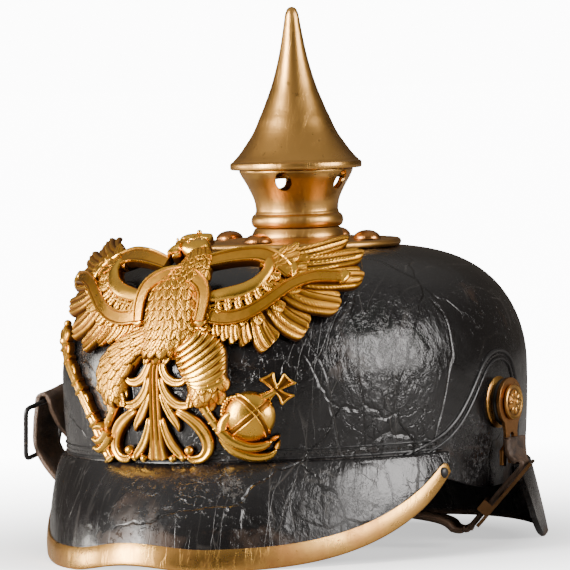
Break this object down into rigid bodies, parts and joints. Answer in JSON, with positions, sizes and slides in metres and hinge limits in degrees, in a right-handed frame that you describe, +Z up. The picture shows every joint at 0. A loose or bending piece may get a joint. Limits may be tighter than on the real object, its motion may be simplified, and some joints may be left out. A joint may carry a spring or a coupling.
{
  "type": "spiked leather helmet",
  "caption": "Glossy black leather helmet with front visor and neck guard, brass eagle plate, turned brass spike on a vented neck, side posts and a brown chin strap.",
  "frame": {"origin": "under the middle of the helmet's box, at the level of the table that the visor and neck guard stand on; the spike's axis stands 2 mm from it towards the wearer's left and 6 mm towards the back", "axes": "+Z up along the spike, -Y the helmet's front with the eagle plate, +X the wearer's left"},
  "size_m": [0.221, 0.272, 0.22],
  "materials": {
    "black_leather": "glossy black lacquered leather, crazed and scuffed",
    "strap_leather": "dry dark brown leather, cracked",
    "lining_leather": "soft brown leather",
    "brass": "satin turned brass with a light patina",
    "gilt": "bright gilt stamped brass",
    "copper": "warm coppery brass",
    "iron_wire": "blackened iron wire",
    "cord": "undyed linen cord"
  },
  "bodies": {
    "helmet": {"skull_shell": "black_leather", "front_visor": "black_leather", "front_trim": "brass", "trim_rivets": "brass", "neck_guard": "black_leather", "side_lobes": "black_leather", "spike_neck": "brass", "base_plate": "brass", "base_studs": "copper", "base_leather": "lining_leather", "side_washers": "brass", "side_spacers": "black_leather", "side_posts": "brass", "rear_spine": "brass", "vent_frame": "brass", "spine_rivets": "brass", "eagle_plate": "gilt", "plate_posts": "brass", "plate_nuts": "brass", "sweatband": "lining_leather", "liner_fingers": "lining_leather", "liner_cord": "cord"},
    "screw_plug": {"spike_plug": "brass"},
    "spike": {"spike": "brass"},
    "air_slide": {"vent_slide": "brass"},
    "strap": {"strap_lugs": "brass", "chin_strap": "strap_leather", "far_buckle": "iron_wire"},
    "slider": {"near_buckle": "brass"}
  },
  "joints": [
    {"name": "spike_lift", "type": "slide", "parent": "helmet", "child": "screw_plug", "axis": [0, 0, 1], "range_m": [0, 0.006]},
    {"name": "spike_turn", "type": "hinge", "parent": "screw_plug", "child": "spike", "pos_m": [0.00208, 0.00586, 0.1535], "axis": [0, 0, 1], "range_deg": [0, 1080]},
    {"name": "air_slide", "type": "slide", "parent": "helmet", "child": "air_slide", "axis": [0, -0.5402, 0.8415], "range_m": [0, 0.008]},
    {"name": "strap_swing", "type": "hinge", "parent": "helmet", "child": "strap", "pos_m": [0.00208, 0.00886, 0.058], "axis": [1, 0, 0], "range_deg": [0, 10]},
    {"name": "buckle_slide", "type": "slide", "parent": "strap", "child": "slider", "axis": [-0.6084, -0.2658, -0.7478], "range_m": [-0.003, 0.003]}
  ],
  "couplings": [
    {"joint": "spike_lift", "follows": "spike_turn", "m_per_rad": 0.00031831}
  ]
}
